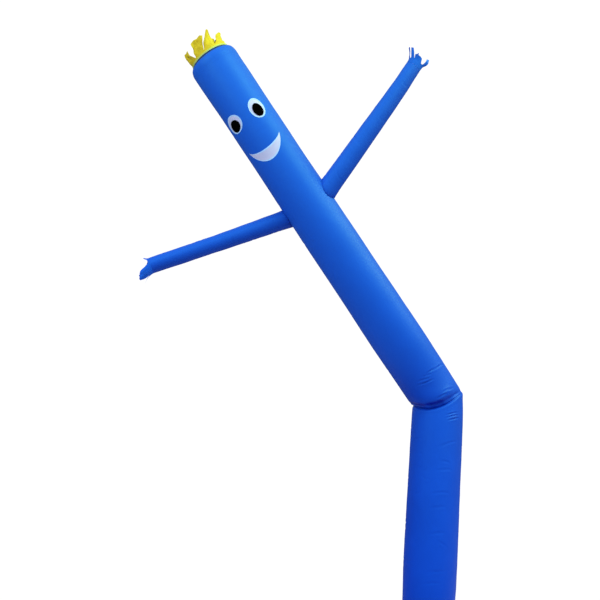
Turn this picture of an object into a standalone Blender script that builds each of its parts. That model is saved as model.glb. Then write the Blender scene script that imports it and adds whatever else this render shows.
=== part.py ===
"""Inflatable air dancer: a sewn nylon tube with a face, two arms and ribbon hair, bent as it blows.

The frame is metres with +Z up. The origin is the centre of the tube's open bottom end, where the
blower's outlet enters. The face looks towards -Y, and the figure's bent upper half leans to -X.
Angles round a tube start at its front (-Y) and grow towards -X.
"""

import math

import bmesh
import bpy
import numpy as np
from mathutils import Matrix, Vector

# Cloth and seams
CLOTH = 0.002  # wall of every tube
PATCH = 0.001  # one layer of the sewn-on face pieces
GAP = 0.0003  # between pieces that are sewn to each other
LIFT = 0.0005  # of a face piece over the tube's rounded wall
HEM = 0.004  # doubled cloth at the bottom edge
HEM_HEIGHT = 0.040

# Main tube: 18 inch nylon tube, a straight leg and a straight upper half that meet in a fold
TUBE_RADIUS = 0.2285
TUBE_SIDES = 36
LEG_LEAN = 6.05  # degrees to +X
FOLD_HEIGHT = 2.298  # where the two axes cross
FOLD_OFFSET = 0.2196
UPPER_TILT = 37.3  # degrees from upright
UPPER_HEADING = 24.0  # degrees in front of straight -X
UPPER_LENGTH = 3.660

# Fold: the leg's edge dips at the front left, and the cloth above it swells over the crease
FOLD_SAG = 0.062
FOLD_SAG_ANGLE = 12.0
FOLD_SAG_REACH = 85.0
FOLD_SIDE = 18.0  # angle of the deepest part of the crease
FOLD_DEPTH = (0.003, 0.024)  # shallowest and deepest
FOLD_SWELL = (0.001, 0.009)
FOLD_CORNER = 0.018  # the slack outer corner of the bend draws in by this much
FOLD_CORNER_ANGLE = -100.0

# Cap of the head: a round panel with a vent in its middle
VENT_RADIUS = 0.140

# Hair: a band of yellow cloth cut into ribbons, sewn round the cap
HAIR_RADIUS = 0.200
HAIR_BAND = 0.018
HAIR_SIDES = 48
HAIR_THICK = 0.0015

# Arms: tapered tubes sewn over round holes in the main tube
ARM_STATION = 2.160  # along the upper half, from the fold
ARM_SIDES = 18
HAND_SIDES = 24
ARM_HOLE_MARGIN = 0.008  # the hole is this much narrower than the arm
HAND_THICK = 0.0015
HAND_CUFF = 0.016

# Face, measured along the upper half and round the tube
FACE_TURN = 23.4
EYE_STATION = 3.091
PUPIL_STATION = 3.073
# Side, angle from the middle of the face, half height and half width of the white and the pupil
EYES = (
    ("left", 33.4, 0.090, 0.086, 0.058, 0.056),
    ("right", -33.4, 0.096, 0.076, 0.064, 0.049),
)
MOUTH_STATION = 2.814  # the smile's two corners
MOUTH_SPREAD = 47.5
MOUTH_UPPER_DIP = 0.066
MOUTH_LOWER_DIP = 0.175

# Leg sections: height, offset to +X, radius
LEG_SECTIONS = (
    (0.000, 0.000, 0.2050),
    (HEM_HEIGHT, 0.000, 0.2050),
    (0.160, 0.002, 0.2080),
    (0.320, 0.012, 0.2130),
    (0.480, 0.027, 0.2180),
    (0.640, 0.044, 0.2215),
    (0.820, 0.063, 0.2258),
    (1.050, 0.087, 0.2285),
    (1.400, 0.124, 0.2280),
    (1.700, 0.156, 0.2288),
)

# Sections of the leg below the fold: distance along the axis from the fold, share of the crease's
# slope, share of the crease's depth
BELOW_FOLD = (
    (-0.420, 0.00, 0.0),
    (-0.240, 0.35, 0.0),
    (-0.120, 0.70, 0.0),
    (-0.050, 0.94, 0.0),
    (-0.014, 1.00, 0.1),
    (0.000, 1.00, 0.55),
    (0.008, 1.00, 1.0),
)

# Sections above the fold: distance, share of the crease's slope, share of the swell
ABOVE_FOLD = (
    (0.016, 1.00, -0.5),
    (0.032, 1.00, 0.7),
    (0.062, 0.96, 1.0),
    (0.120, 0.72, 0.7),
    (0.240, 0.36, 0.2),
    (0.420, 0.00, 0.0),
)

# Upper half: distance along the axis from the fold, radius
UPPER_SECTIONS = (
    (0.420, 0.2320),
    (0.650, 0.2350),
    (1.000, 0.2335),
    (1.400, 0.2310),
    (1.800, 0.2300),
    (2.050, 0.2295),
    (2.270, 0.2285),
    (2.500, 0.2262),
    (2.800, 0.2258),
    (3.100, 0.2268),
    (3.400, 0.2285),
    (3.600, 0.2296),
    (UPPER_LENGTH, 0.2296),
)

# Cap: height above its seam, radius
CAP_SECTIONS = (
    (0.000, 0.2296),
    (0.018, 0.2296),
    (0.042, 0.2265),
    (0.066, 0.2180),
    (0.086, 0.2040),
    (0.099, 0.1840),
    (0.107, 0.1630),
    (0.112, VENT_RADIUS),
)

# Ribbons of the hair: angle of the middle, how many of the band's 48 sides, length, lean outwards,
# lean to the left, curl and twist (degrees over the whole length), width at the tip as a share of
# the root
HAIR_RIBBONS = (
    (-4.0, 4, 0.178, 4.0, -19.0, -10.0, 0.0, 0.26),
    (32.0, 4, 0.172, 6.0, -17.0, 0.0, 14.0, 1.06),
    (68.0, 4, 0.132, 8.0, -10.0, -26.0, 50.0, 0.45),
    (104.0, 4, 0.104, 44.0, -24.0, -66.0, 60.0, 0.85),
    (140.0, 4, 0.115, 30.0, -10.0, 20.0, 0.0, 0.80),
    (176.0, 4, 0.165, 10.0, 16.0, 20.0, 10.0, 0.70),
    (212.0, 4, 0.190, 6.0, 12.0, -30.0, 0.0, 0.50),
    (248.0, 4, 0.125, -4.0, 16.0, -20.0, 20.0, 0.70),
    (284.0, 4, 0.095, 0.0, 14.0, -40.0, -30.0, 0.60),
    (320.0, 4, 0.146, 4.0, -27.0, -16.0, -20.0, 0.42),
)

# Arm sections: distance along the arm's straight line, push up, push to the front, radius
RIGHT_ARM = (
    (-0.120, 0.000, 0.000, 0.0930),
    (0.060, 0.000, 0.000, 0.0880),
    (0.220, 0.000, 0.000, 0.0790),
    (0.420, 0.003, 0.000, 0.0715),
    (0.660, 0.006, 0.000, 0.0675),
    (0.860, 0.008, 0.000, 0.0665),
    (1.060, 0.006, 0.000, 0.0650),
    (1.230, 0.002, 0.000, 0.0635),
    (1.330, 0.000, 0.000, 0.0640),
    (1.380, 0.000, 0.000, 0.0660),
)
LEFT_ARM = (
    (-0.120, 0.000, 0.000, 0.0850),
    (0.060, 0.000, 0.000, 0.0820),
    (0.260, 0.001, 0.000, 0.0785),
    (0.520, 0.002, 0.000, 0.0750),
    (0.780, 0.002, 0.000, 0.0725),
    (1.020, 0.001, 0.000, 0.0705),
    (1.180, 0.000, 0.000, 0.0690),
    (1.270, 0.000, 0.000, 0.0680),
    (1.320, 0.000, 0.000, 0.0680),
)
RIGHT_ARM_ANGLE = -67.0
LEFT_ARM_ANGLE = 113.0
RIGHT_ARM_LINE = (0.575, -0.180, 0.815)
LEFT_ARM_LINE = (-0.935, -0.055, -0.382)

# Strips of a hand: angle of the middle, how many of the cuff's 24 sides, length, lean outwards,
# lean to the left, curl and twist (degrees over the whole length), width at the tip as a share of
# the root
RIGHT_STRIPS = (
    (-6.0, 4, 0.105, 8.0, -6.0, 14.0, 0.0, 0.80),
    (60.0, 2, 0.140, 26.0, 6.0, -12.0, 20.0, 0.70),
    (98.0, 2, 0.155, 30.0, 0.0, -14.0, 70.0, 0.70),
    (145.0, 2, 0.120, 16.0, 0.0, 30.0, 0.0, 0.70),
    (190.0, 2, 0.110, 20.0, 0.0, -24.0, 0.0, 0.70),
    (235.0, 2, 0.105, 6.0, 0.0, 10.0, 0.0, 0.60),
    (285.0, 3, 0.130, 56.0, 0.0, -80.0, -50.0, 0.55),
)
LEFT_STRIPS = (
    (0.0, 4, 0.110, 10.0, -26.0, 20.0, 0.0, 0.80),
    (52.0, 2, 0.120, 16.0, 0.0, -20.0, 20.0, 0.60),
    (98.0, 2, 0.105, 12.0, 0.0, 44.0, 0.0, 0.60),
    (145.0, 2, 0.120, 14.0, 0.0, -12.0, 0.0, 0.70),
    (190.0, 2, 0.130, 16.0, 10.0, 12.0, 0.0, 0.70),
    (235.0, 2, 0.125, 26.0, 6.0, 36.0, 20.0, 0.60),
    (285.0, 3, 0.120, 24.0, 0.0, 50.0, 30.0, 0.60),
)


def clear_scene():
    """Remove whatever the file holds."""
    for obj in list(bpy.data.objects):
        bpy.data.objects.remove(obj, do_unlink=True)


def make_collection(name):
    coll = bpy.data.collections.new(name)
    bpy.context.scene.collection.children.link(coll)
    return coll


def make_material(name, colour, roughness):
    mat = bpy.data.materials.new(name)
    mat.use_nodes = True
    shader = mat.node_tree.nodes["Principled BSDF"]
    shader.inputs["Base Color"].default_value = (*colour, 1.0)
    shader.inputs["Roughness"].default_value = roughness
    shader.inputs["Metallic"].default_value = 0.0
    mat.diffuse_color = (*colour, 1.0)
    return mat


def add_object(name, bm, coll, mat=None):
    """Turn a bmesh into an object with smooth faces."""
    mesh = bpy.data.meshes.new(name)
    bm.normal_update()
    bm.to_mesh(mesh)
    bm.free()
    mesh.shade_smooth()
    if mat:
        mesh.materials.append(mat)
    obj = bpy.data.objects.new(name, mesh)
    coll.objects.link(obj)
    return obj


def add_solidify(obj, thickness, offset=-1.0):
    mod = obj.modifiers.new("Cloth", "SOLIDIFY")
    mod.thickness = thickness
    mod.offset = offset
    return mod


def cut_with(obj, cutter):
    mod = obj.modifiers.new(f"Cut {cutter.name}", "BOOLEAN")
    mod.object = cutter
    mod.operation = "DIFFERENCE"
    mod.solver = "EXACT"


def hide_cutter(obj):
    obj.hide_render = True
    obj.display_type = "WIRE"


def loft(rings, closed_ends=False):
    """Join closed rings of equally many points with quads, faces pointing out."""
    bm = bmesh.new()
    rows = [[bm.verts.new(p) for p in ring] for ring in rings]
    count = len(rows[0])
    for low, high in zip(rows, rows[1:]):
        for i in range(count):
            j = (i + 1) % count
            bm.faces.new((low[i], high[i], high[j], low[j]))
    if closed_ends:
        bm.faces.new(rows[0])
        bm.faces.new(list(reversed(rows[-1])))
    return bm


class Axis:
    """A straight axis with a front and a left direction across it."""

    def __init__(self, start, along, front, left):
        self.start = start
        self.along = along
        self.front = front
        self.left = left

    def across(self, angle):
        return self.front * math.cos(angle) + self.left * math.sin(angle)

    def point(self, distance, angle, radius):
        return self.start + self.along * distance + self.across(angle) * radius


def axis_towards(start, along, front_hint):
    """An axis whose front is the part of the hint that lies across it."""
    along = along.normalized()
    front = (front_hint - along * front_hint.dot(along)).normalized()
    return Axis(start, along, front, front.cross(along))


FOLD_POINT = Vector((FOLD_OFFSET, 0.0, FOLD_HEIGHT))
LEG_AXIS = axis_towards(
    FOLD_POINT,
    Vector((math.tan(math.radians(LEG_LEAN)), 0.0, 1.0)),
    Vector((0.0, -1.0, 0.0)),
)


def make_upper_axis():
    """The upper half's axis, with the leg's front carried round the bend without a twist."""
    tilt = math.radians(UPPER_TILT)
    heading = math.radians(UPPER_HEADING)
    along = Vector((
        -math.sin(tilt) * math.cos(heading),
        -math.sin(tilt) * math.sin(heading),
        math.cos(tilt),
    ))
    bend = LEG_AXIS.along.rotation_difference(along)
    return Axis(FOLD_POINT, along, bend @ LEG_AXIS.front, bend @ LEG_AXIS.left)


UPPER_AXIS = make_upper_axis()
# The bend turns the front by a few degrees, so the face's angle is taken from -Y itself.
FRONT_TURN = math.atan2(
    Vector((0.0, -1.0, 0.0)).dot(UPPER_AXIS.left),
    Vector((0.0, -1.0, 0.0)).dot(UPPER_AXIS.front),
)


def ring_angles(count):
    return [2.0 * math.pi * i / count for i in range(count)]


def angle_between(a, b):
    """Signed difference of two angles, within half a turn."""
    return (a - b + math.pi) % (2.0 * math.pi) - math.pi


def facing(angle, middle):
    """1 at the middle angle (degrees) and 0 opposite."""
    return 0.5 + 0.5 * math.cos(angle - math.radians(middle))


def fold_weight(angle):
    return facing(angle, FOLD_SIDE) ** 3


def crease_height(angle):
    """Distance of the crease from the fold point, along the leg's axis."""
    normal = (LEG_AXIS.along + UPPER_AXIS.along).normalized()
    mitre = -LEG_AXIS.across(angle).dot(normal) / LEG_AXIS.along.dot(normal) * TUBE_RADIUS
    away = angle_between(angle, math.radians(FOLD_SAG_ANGLE)) / math.radians(FOLD_SAG_REACH)
    sag = math.cos(min(abs(away), 1.0) * math.pi / 2.0) ** 2
    return mitre - FOLD_SAG * sag


def bent_radius(angle, slope):
    """The tube's radius near the fold, where the outer corner draws in."""
    return TUBE_RADIUS - FOLD_CORNER * slope**3 * facing(angle, FOLD_CORNER_ANGLE) ** 2


def crease_point(angle):
    return LEG_AXIS.point(crease_height(angle), angle, bent_radius(angle, 1.0))


def blend(pair, share):
    return pair[0] + (pair[1] - pair[0]) * share


def leg_ring(height, offset, radius, angles):
    """A section of the leg: level at the hem, square to the leaning axis higher up."""
    share = min(max((height - HEM_HEIGHT) / 0.3, 0.0), 1.0)
    upright = Vector((0.0, 0.0, 1.0)).lerp(LEG_AXIS.along, share)
    section = axis_towards(Vector((offset, 0.0, height)), upright, LEG_AXIS.front)
    return [section.point(0.0, a, radius) for a in angles]


def below_fold_ring(distance, slope, depth, angles):
    ring = []
    for a in angles:
        pinch = depth * blend(FOLD_DEPTH, fold_weight(a))
        radius = bent_radius(a, slope) - pinch
        ring.append(LEG_AXIS.point(distance + slope * crease_height(a), a, radius))
    return ring


def above_fold_ring(distance, slope, swell, angles):
    """A section just above the crease, between the crease's own line and the upper tube."""
    ring = []
    radius = UPPER_SECTIONS[0][1]
    for a in angles:
        to_crease = crease_point(a) - FOLD_POINT
        up = to_crease.dot(UPPER_AXIS.along)
        across = to_crease - UPPER_AXIS.along * up
        round_section = UPPER_AXIS.across(a) * radius
        out = round_section.lerp(across, slope)
        out += out.normalized() * swell * blend(FOLD_SWELL, fold_weight(a))
        ring.append(FOLD_POINT + UPPER_AXIS.along * (distance + slope * up) + out)
    return ring


def upper_radius(distance):
    """Radius of the upper half at a distance from the fold."""
    return float(np.interp(distance, *zip(*UPPER_SECTIONS)))


def upper_ring(distance, radius, angles):
    return [UPPER_AXIS.point(distance, a, radius) for a in angles]


def main_tube_rings():
    angles = ring_angles(TUBE_SIDES)
    rings = [leg_ring(*row, angles) for row in LEG_SECTIONS]
    rings += [below_fold_ring(*row, angles) for row in BELOW_FOLD]
    rings += [above_fold_ring(*row, angles) for row in ABOVE_FOLD]
    rings += [upper_ring(*row, angles) for row in UPPER_SECTIONS[1:]]
    return rings


def make_main_tube(coll, mat):
    obj = add_object("main_tube", loft(main_tube_rings()), coll, mat)
    hem = obj.vertex_groups.new(name="hem")
    hem.add(range(2 * TUBE_SIDES), 1.0, "REPLACE")
    mod = add_solidify(obj, HEM)
    mod.vertex_group = hem.name
    mod.thickness_vertex_group = CLOTH / HEM
    return obj


def make_cap(coll, mat):
    angles = ring_angles(TUBE_SIDES)
    seam = UPPER_LENGTH + GAP
    rings = [upper_ring(seam + height, radius, angles) for height, radius in CAP_SECTIONS]
    obj = add_object("head_cap", loft(rings), coll, mat)
    add_solidify(obj, CLOTH)
    return obj


def cap_height(radius):
    """Height of the cap's outer face over its seam at a radius."""
    heights, radii = zip(*reversed(CAP_SECTIONS))
    return float(np.interp(radius, radii, heights))


def strip_rows(edge, along, out, length, lean_out, lean_left, curl, twist, tip):
    """Rows of points of a strip that leaves its edge, curls and turns about itself."""
    steps = 5
    here = sum(edge, Vector()) / len(edge)
    offsets = [point - here for point in edge]
    left = out.cross(along)
    rows = []
    for i in range(1, steps + 1):
        turn = math.radians(lean_out + curl * (i - 0.5) / steps)
        step = along * math.cos(turn) + out * math.sin(turn)
        step = (step + left * math.tan(math.radians(lean_left))).normalized()
        here = here + step * (length / steps)
        spin = Matrix.Rotation(math.radians(twist) * i / steps, 3, step)
        narrow = 1.0 + (tip - 1.0) * i / steps
        rows.append([here + spin @ offset * narrow for offset in offsets])
    return rows


def make_fringe(name, axis, band, sides, radius, strips, thickness, coll, mat):
    """A band round an axis whose upper edge is cut into strips that stand apart."""
    bm = bmesh.new()
    angles = ring_angles(sides)
    low = [bm.verts.new(axis.point(0.0, a, radius(0.0))) for a in angles]
    high = [bm.verts.new(axis.point(band, a, radius(band))) for a in angles]
    for i in range(sides):
        j = (i + 1) % sides
        bm.faces.new((low[i], high[i], high[j], low[j]))
    for middle, width, *form in strips:
        first = round(middle / 360.0 * sides - width / 2.0)
        out = axis.across(2.0 * math.pi * (first + width / 2.0) / sides)
        edge = [high[(first + i) % sides] for i in range(width + 1)]
        for points in strip_rows([v.co for v in edge], axis.along, out, *form):
            row = [bm.verts.new(point) for point in points]
            for k in range(width):
                bm.faces.new((edge[k], row[k], row[k + 1], edge[k + 1]))
            edge = row
    obj = add_object(name, bm, coll, mat)
    add_solidify(obj, thickness)
    return obj


def make_hair(coll, mat):
    """The band stands on the cap's shoulder, just clear of its cloth."""
    foot = UPPER_LENGTH + GAP + cap_height(HAIR_RADIUS - HAIR_THICK) + GAP
    axis = Axis(
        UPPER_AXIS.point(foot, 0.0, 0.0), UPPER_AXIS.along, UPPER_AXIS.front, UPPER_AXIS.left
    )
    return make_fringe(
        "hair",
        axis,
        HAIR_BAND,
        HAIR_SIDES,
        lambda height: HAIR_RADIUS,
        HAIR_RIBBONS,
        HAIR_THICK,
        coll,
        mat,
    )


def arm_axis(angle, line):
    root = UPPER_AXIS.point(ARM_STATION, math.radians(angle) + FRONT_TURN, TUBE_RADIUS)
    return axis_towards(root, Vector(line), Vector((0.0, -1.0, 0.0)))


def make_envelope(coll):
    """The main tube's outside near the arms, one gap larger, to trim the arms' roots with."""
    angles = ring_angles(TUBE_SIDES)
    near = [row for row in UPPER_SECTIONS if 1.3 < row[0] < 3.2]
    rings = [upper_ring(distance, radius + GAP, angles) for distance, radius in near]
    obj = add_object("envelope", loft(rings, closed_ends=True), coll)
    hide_cutter(obj)
    return obj


def make_arm(name, axis, sections, envelope, coll, mat):
    """An arm starts inside the main tube and is trimmed to the tube's outside."""
    angles = ring_angles(ARM_SIDES)
    up = axis.left if axis.left.z > 0.0 else -axis.left
    rings = []
    for distance, rise, forward, radius in sections:
        shift = up * rise + axis.front * forward
        rings.append([axis.point(distance, a, radius) + shift for a in angles])
    obj = add_object(name, loft(rings), coll, mat)
    add_solidify(obj, CLOTH)
    cut_with(obj, envelope)
    return obj


def make_arm_hole(name, axis, radius, coll):
    """A round cutter along the arm, through one wall of the main tube."""
    bm = bmesh.new()
    bmesh.ops.create_cone(
        bm, cap_ends=True, segments=ARM_SIDES, radius1=radius, radius2=radius, depth=0.32
    )
    obj = add_object(name, bm, coll)
    across = Matrix((axis.front, axis.left, axis.along)).transposed()
    obj.matrix_world = Matrix.Translation(axis.point(0.06, 0.0, 0.0)) @ across.to_4x4()
    hide_cutter(obj)
    return obj


def make_hand(name, arm, sections, strips, coll, mat):
    """A cuff sewn to the arm's end, cut into strips."""
    end, _, _, radius = sections[-1]
    cuff = Axis(arm.point(end + GAP, 0.0, 0.0), arm.along, arm.front, arm.left)
    return make_fringe(
        name,
        cuff,
        HAND_CUFF,
        HAND_SIDES,
        lambda height: radius + 0.25 * height,
        strips,
        HAND_THICK,
        coll,
        mat,
    )


def face_point(station, angle, lift):
    return UPPER_AXIS.point(station, angle + FRONT_TURN, upper_radius(station) + lift)


def make_round_patch(name, station, angle, half_height, half_width, lift, coll, mat):
    """An oval of cloth laid on the main tube."""
    bm = bmesh.new()
    count = 20
    centre = bm.verts.new(face_point(station, angle, lift))
    inner = [centre] * count
    for share in (0.25, 0.5, 0.75, 1.0):
        ring = []
        for a in ring_angles(count):
            turn = angle + share * half_width * math.sin(a) / TUBE_RADIUS
            height = station + share * half_height * math.cos(a)
            ring.append(bm.verts.new(face_point(height, turn, lift)))
        for i in range(count):
            j = (i + 1) % count
            if inner[i] is centre:
                bm.faces.new((centre, ring[i], ring[j]))
            else:
                bm.faces.new((inner[i], ring[i], ring[j], inner[j]))
        inner = ring
    obj = add_object(name, bm, coll, mat)
    add_solidify(obj, PATCH, offset=1.0)
    return obj


def make_mouth(coll, mat):
    """A crescent between two arcs that meet in the smile's corners."""
    bm = bmesh.new()
    count = 24
    middle = math.radians(FACE_TURN)
    spread = math.radians(MOUTH_SPREAD)
    columns = []
    for i in range(count + 1):
        share = 2.0 * i / count - 1.0
        turn = middle + spread * share
        arc = (1.0 - share * share) ** 0.8
        thick = (MOUTH_LOWER_DIP - MOUTH_UPPER_DIP) * arc
        top = MOUTH_STATION - MOUTH_UPPER_DIP * arc
        rows = 4
        if i in (0, count):
            columns.append([bm.verts.new(face_point(top, turn, LIFT))] * (rows + 1))
            continue
        heights = [top - thick * k / rows for k in range(rows + 1)]
        columns.append([bm.verts.new(face_point(h, turn, LIFT)) for h in heights])
    for left, right in zip(columns, columns[1:]):
        for k in range(len(left) - 1):
            corners = (left[k], right[k], right[k + 1], left[k + 1])
            bm.faces.new(list(dict.fromkeys(corners)))
    obj = add_object("mouth", bm, coll, mat)
    add_solidify(obj, PATCH, offset=1.0)
    return obj


def make_face(coll, white, black):
    """Two eyes, each a pupil on a white, and the smile."""
    second_layer = LIFT + PATCH + GAP
    for side, spread, height, width, pupil_height, pupil_width in EYES:
        angle = math.radians(FACE_TURN + spread)
        make_round_patch(
            f"eye_white_{side}", EYE_STATION, angle, height, width, LIFT, coll, white
        )
        make_round_patch(
            f"pupil_{side}",
            PUPIL_STATION,
            angle,
            pupil_height,
            pupil_width,
            second_layer,
            coll,
            black,
        )
    make_mouth(coll, white)


clear_scene()
parts = make_collection("air_dancer")
cutters = make_collection("cutters")

blue = make_material("blue nylon", (0.013, 0.105, 0.655), 0.45)
yellow = make_material("yellow nylon", (0.60, 0.53, 0.01), 0.55)
white = make_material("white nylon", (0.72, 0.76, 0.92), 0.50)
black = make_material("black nylon", (0.010, 0.010, 0.012), 0.50)

main_tube = make_main_tube(parts, blue)
make_cap(parts, blue)
make_hair(parts, yellow)

envelope = make_envelope(cutters)
for side, angle, line, sections, strips in (
    ("right", RIGHT_ARM_ANGLE, RIGHT_ARM_LINE, RIGHT_ARM, RIGHT_STRIPS),
    ("left", LEFT_ARM_ANGLE, LEFT_ARM_LINE, LEFT_ARM, LEFT_STRIPS),
):
    arm = arm_axis(angle, line)
    make_arm(f"arm_{side}", arm, sections, envelope, parts, blue)
    make_hand(f"hand_{side}", arm, sections, strips, parts, blue)
    hole = make_arm_hole(
        f"hole_{side}", arm, sections[1][3] - CLOTH - ARM_HOLE_MARGIN, cutters
    )
    cut_with(main_tube, hole)

make_face(parts, white, black)
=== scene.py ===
"""Looks of the inflatable air dancer: sewn nylon blown full of air, with ribbon hair and a sewn face."""

import math

import bmesh
import bpy
import numpy as np
from mathutils import Matrix, Vector
from mathutils.bvhtree import BVHTree


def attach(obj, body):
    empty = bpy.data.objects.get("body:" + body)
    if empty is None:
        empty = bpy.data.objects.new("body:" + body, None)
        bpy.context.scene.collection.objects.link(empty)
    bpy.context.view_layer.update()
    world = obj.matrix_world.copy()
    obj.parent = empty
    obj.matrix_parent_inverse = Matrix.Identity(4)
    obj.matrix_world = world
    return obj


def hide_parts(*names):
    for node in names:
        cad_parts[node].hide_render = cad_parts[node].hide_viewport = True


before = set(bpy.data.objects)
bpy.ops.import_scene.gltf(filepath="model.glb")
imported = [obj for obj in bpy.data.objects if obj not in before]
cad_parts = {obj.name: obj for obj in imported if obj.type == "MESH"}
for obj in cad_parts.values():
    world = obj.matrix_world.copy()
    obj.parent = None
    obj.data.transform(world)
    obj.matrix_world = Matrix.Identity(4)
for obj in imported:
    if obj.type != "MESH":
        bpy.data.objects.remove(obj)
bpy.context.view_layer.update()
bpy.ops.object.select_all(action="DESELECT")


# ---------------------------------------------------------------- camera
# The figure is seen from a person's chest height, by a short lens that looks up. The camera stands
# to the side that the upper half leans to.

CAMERA_PLACE = (-1.045, -6.40, 1.30)
CAMERA_TILT = 107.0
bpy.ops.object.camera_add(location=CAMERA_PLACE, rotation=(math.radians(CAMERA_TILT), 0.0, 0.0))
camera = bpy.context.object
camera.name = "camera"
camera.data.sensor_width = 36.0
camera.data.lens = 42.0
camera.data.clip_end = 400.0
bpy.context.scene.camera = camera


# ---------------------------------------------------------------- floor and light
# A pale studio floor under the open hem, a white room, and soft light from the upper right. The
# lights and the room are tinted, so the floor and every cloth have colours that answer to them.

bpy.ops.mesh.primitive_circle_add(vertices=96, radius=5.5, fill_type="NGON", location=(0.0, 0.0, 0.0))
floor = bpy.context.object
floor.name = "studio_floor"
floor_paint = bpy.data.materials.new("pale floor")
floor_paint.use_nodes = True
floor_shader = floor_paint.node_tree.nodes["Principled BSDF"]
floor_shader.inputs["Base Color"].default_value = (0.90, 0.66, 0.74, 1.0)
floor_shader.inputs["Roughness"].default_value = 0.9
floor_shader.inputs["Specular IOR Level"].default_value = 0.1
floor.data.materials.append(floor_paint)


def add_softbox(name, place, target, size, power, colour):
    """A round soft light at a place, turned to its target."""
    bpy.ops.object.light_add(type="AREA", location=place)
    lamp = bpy.context.object
    lamp.name = name
    lamp.rotation_euler = (Vector(target) - Vector(place)).to_track_quat("-Z", "Y").to_euler()
    lamp.data.shape = "DISK"
    lamp.data.size = size
    lamp.data.energy = power
    lamp.data.color = colour


# Name, place, target, size, power in watts, colour.
add_softbox("key_light", (2.0, -4.2, 7.6), (-0.8, -0.4, 3.8), 2.6, 215.0, (0.68, 0.98, 0.64))
add_softbox("face_light", (-4.4, -4.2, 5.4), (-1.7, -0.7, 4.9), 2.0, 85.0, (0.80, 0.94, 1.0))
add_softbox("side_light", (4.4, -1.4, 7.2), (-0.4, -0.3, 3.6), 4.0, 250.0, (0.72, 1.0, 0.48))
add_softbox("back_light", (-1.0, 6.4, 6.0), (-0.8, 0.0, 3.4), 4.0, 30.0, (0.74, 0.95, 1.0))

# The camera sees plain white, and the cloth is lit by a glow that is strongest from one side.
BRIGHT_SIDE = Vector((0.22, -0.74, 0.64))
room = bpy.data.worlds.new("white room")
room.use_nodes = True
bpy.context.scene.world = room
net = room.node_tree
net.nodes.clear()
room_out = net.nodes.new("ShaderNodeOutputWorld")
room_mix = net.nodes.new("ShaderNodeMixShader")
room_white = net.nodes.new("ShaderNodeBackground")
room_glow = net.nodes.new("ShaderNodeBackground")
room_path = net.nodes.new("ShaderNodeLightPath")
room_place = net.nodes.new("ShaderNodeTexCoord")
room_side = net.nodes.new("ShaderNodeVectorMath")
room_range = net.nodes.new("ShaderNodeMapRange")
room_white.inputs["Color"].default_value = (1.0, 1.0, 1.0, 1.0)
room_white.inputs["Strength"].default_value = 1.05
room_glow.inputs["Color"].default_value = (0.66, 0.92, 1.0, 1.0)
room_side.operation = "DOT_PRODUCT"
room_side.inputs[1].default_value = BRIGHT_SIDE.normalized()
room_range.inputs["From Min"].default_value = -0.35
room_range.inputs["From Max"].default_value = 1.0
room_range.inputs["To Min"].default_value = 0.22
room_range.inputs["To Max"].default_value = 1.15
net.links.new(room_place.outputs["Generated"], room_side.inputs[0])
net.links.new(room_side.outputs["Value"], room_range.inputs["Value"])
net.links.new(room_range.outputs["Result"], room_glow.inputs["Strength"])
net.links.new(room_path.outputs["Is Camera Ray"], room_mix.inputs["Fac"])
net.links.new(room_glow.outputs[0], room_mix.inputs[1])
net.links.new(room_white.outputs[0], room_mix.inputs[2])
net.links.new(room_mix.outputs[0], room_out.inputs["Surface"])
bpy.context.scene.view_settings.view_transform = "Standard"


# ---------------------------------------------------------------- main tube
# One sheet of blue ripstop nylon, rolled into a tube and closed by a long seam at the back. The air
# keeps it round, and it kinks at the fold, where the cloth above lies over the sharp edge of the leg.

# Lengths are in metres and angles in degrees.
TUBE_RADIUS = 0.2285
CLOTH_WALL = 0.002
THIN_WALL = 0.0006
LEG_LEAN = 6.05
FOLD_POINT = Vector((0.2196, 0.0, 2.298))
FOLD_PLACE = 2.31  # along the cloth, in the middle of the front
UPPER_TILT = 37.3
UPPER_HEADING = 24.0
UPPER_LENGTH = 3.660
FOLD_SAG, FOLD_SAG_ANGLE, FOLD_SAG_REACH = 0.062, 12.0, 85.0
FOLD_SIDE = 18.0
FOLD_DEPTH = (0.003, 0.024)
FOLD_SWELL = (0.001, 0.009)
FOLD_CORNER, FOLD_CORNER_ANGLE = 0.011, -100.0
HEM_HEIGHT = 0.040
HEM_STITCHES = (0.012, 0.034)

# The leg: height, offset to +X, radius. Next to the fold: distance from it, how far the section
# follows the crease, share of the fold's depth or swell. The upper half: distance, radius.
LEG_SECTIONS = (
    (0.000, 0.000, 0.2050), (0.040, 0.000, 0.2050), (0.160, 0.002, 0.2080), (0.320, 0.012, 0.2130),
    (0.480, 0.027, 0.2180), (0.640, 0.044, 0.2215), (0.820, 0.063, 0.2258), (1.050, 0.087, 0.2285),
    (1.400, 0.124, 0.2280), (1.700, 0.156, 0.2288),
)
BELOW_FOLD = (
    (-0.420, 0.00, 0.0), (-0.240, 0.35, 0.0), (-0.120, 0.70, 0.0), (-0.050, 0.94, 0.0),
    (-0.014, 1.00, 0.1), (0.000, 1.00, 0.55), (0.008, 1.00, 1.0),
)
ABOVE_FOLD = (
    (0.016, 1.00, -0.5), (0.032, 1.00, 0.7), (0.062, 0.96, 1.0), (0.120, 0.72, 0.7),
    (0.240, 0.36, 0.2), (0.420, 0.00, 0.0),
)
UPPER_SECTIONS = (
    (0.420, 0.2320), (0.650, 0.2350), (1.000, 0.2335), (1.400, 0.2310), (1.800, 0.2300),
    (2.050, 0.2295), (2.270, 0.2285), (2.500, 0.2262), (2.800, 0.2258), (3.100, 0.2268),
    (3.400, 0.2285), (3.600, 0.2296), (UPPER_LENGTH, 0.2296),
)
COLUMNS = 88


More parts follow.
